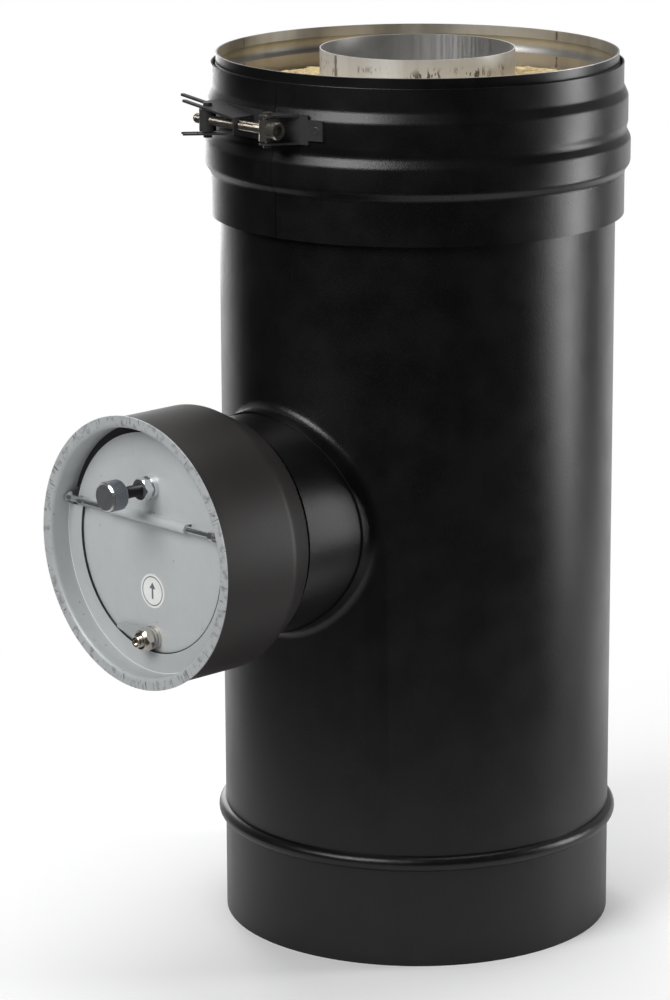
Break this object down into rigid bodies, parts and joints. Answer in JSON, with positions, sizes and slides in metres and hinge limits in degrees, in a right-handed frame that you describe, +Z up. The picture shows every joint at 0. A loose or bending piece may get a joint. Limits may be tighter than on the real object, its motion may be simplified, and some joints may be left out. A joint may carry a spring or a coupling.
{
  "type": "chimney pipe with draft regulator",
  "caption": "Black insulated double-wall chimney pipe section with a side branch holding a round draft regulator flap with adjusting weight, and a beaded locking band on its upper end.",
  "frame": {"origin": "centre of the jacket's lower edge, on the pipe's axis", "axes": "+Z up along the pipe, the branch and regulator point along -Y, +X to the right"},
  "size_m": [0.2146, 0.3175, 0.4515],
  "materials": {
    "black_coat": "satin black powder coat with a fine texture",
    "clamp_black": "black coated folded sheet",
    "casing_coat": "matt brown-black paint",
    "stainless": "bare stainless sheet",
    "wool": "yellow-beige mineral wool",
    "galvanised": "matt galvanised sheet",
    "bright_zinc": "bright zinc plating",
    "weight_steel": "knurled steel with a dark face",
    "nickel": "polished nickel-toned steel"
  },
  "bodies": {
    "pipe": {"axle_bushes": "bright_zinc", "bolt_washer": "nickel", "branch_stub": "black_coat", "branch_wool": "wool", "flue_liner": "stainless", "head_barrel": "nickel", "hook_bracket": "clamp_black", "insulation": "wool", "liner_branch": "stainless", "locking_band": "black_coat", "lower_seat_ring": "galvanised", "mouth_ring": "galvanised", "outer_jacket": "black_coat", "regulator_casing": "casing_coat", "strap_bracket": "clamp_black", "upper_seat_ring": "galvanised", "wool_retainer": "stainless"},
    "flap": {"flap_disc": "galvanised", "flap_axle": "bright_zinc", "axle_collars": "bright_zinc", "weight_spindle": "bright_zinc", "spindle_washer": "bright_zinc", "spindle_nut": "bright_zinc", "spindle_back_nut": "bright_zinc", "lock_bolt": "nickel", "lock_washer": "nickel", "lock_nut": "nickel"},
    "weight": {"adjusting_weight": "weight_steel"},
    "tab": {"locking_tab": "bright_zinc"},
    "bolt": {"clamp_bolt": "nickel"},
    "hook": {"hook_barrel": "clamp_black"}
  },
  "joints": [
    {"name": "flap_swing", "type": "hinge", "parent": "pipe", "child": "flap", "pos_m": [0, -0.1836, 0.241], "axis": [1, 0, 0], "range_deg": [0, 75]},
    {"name": "weight_travel", "type": "slide", "parent": "flap", "child": "weight", "axis": [0, -1, 0], "range_m": [-0.005, 0]},
    {"name": "tab_turn", "type": "hinge", "parent": "flap", "child": "tab", "pos_m": [0, -0.183, 0.1805], "axis": [0, -1, 0], "range_deg": [0, 30]},
    {"name": "bolt_turn", "type": "hinge", "parent": "pipe", "child": "bolt", "pos_m": [-0.00201, -0.11498, 0.424], "axis": [0.9998, -0.0175, 0], "range_deg": [0, 2930]},
    {"name": "hook_travel", "type": "slide", "parent": "pipe", "child": "hook", "axis": [-0.9998, 0.0175, 0], "range_m": [0, 0.0064]}
  ],
  "couplings": [
    {"joint": "bolt_turn", "follows": "hook_travel", "rad_per_m": 7854}
  ]
}
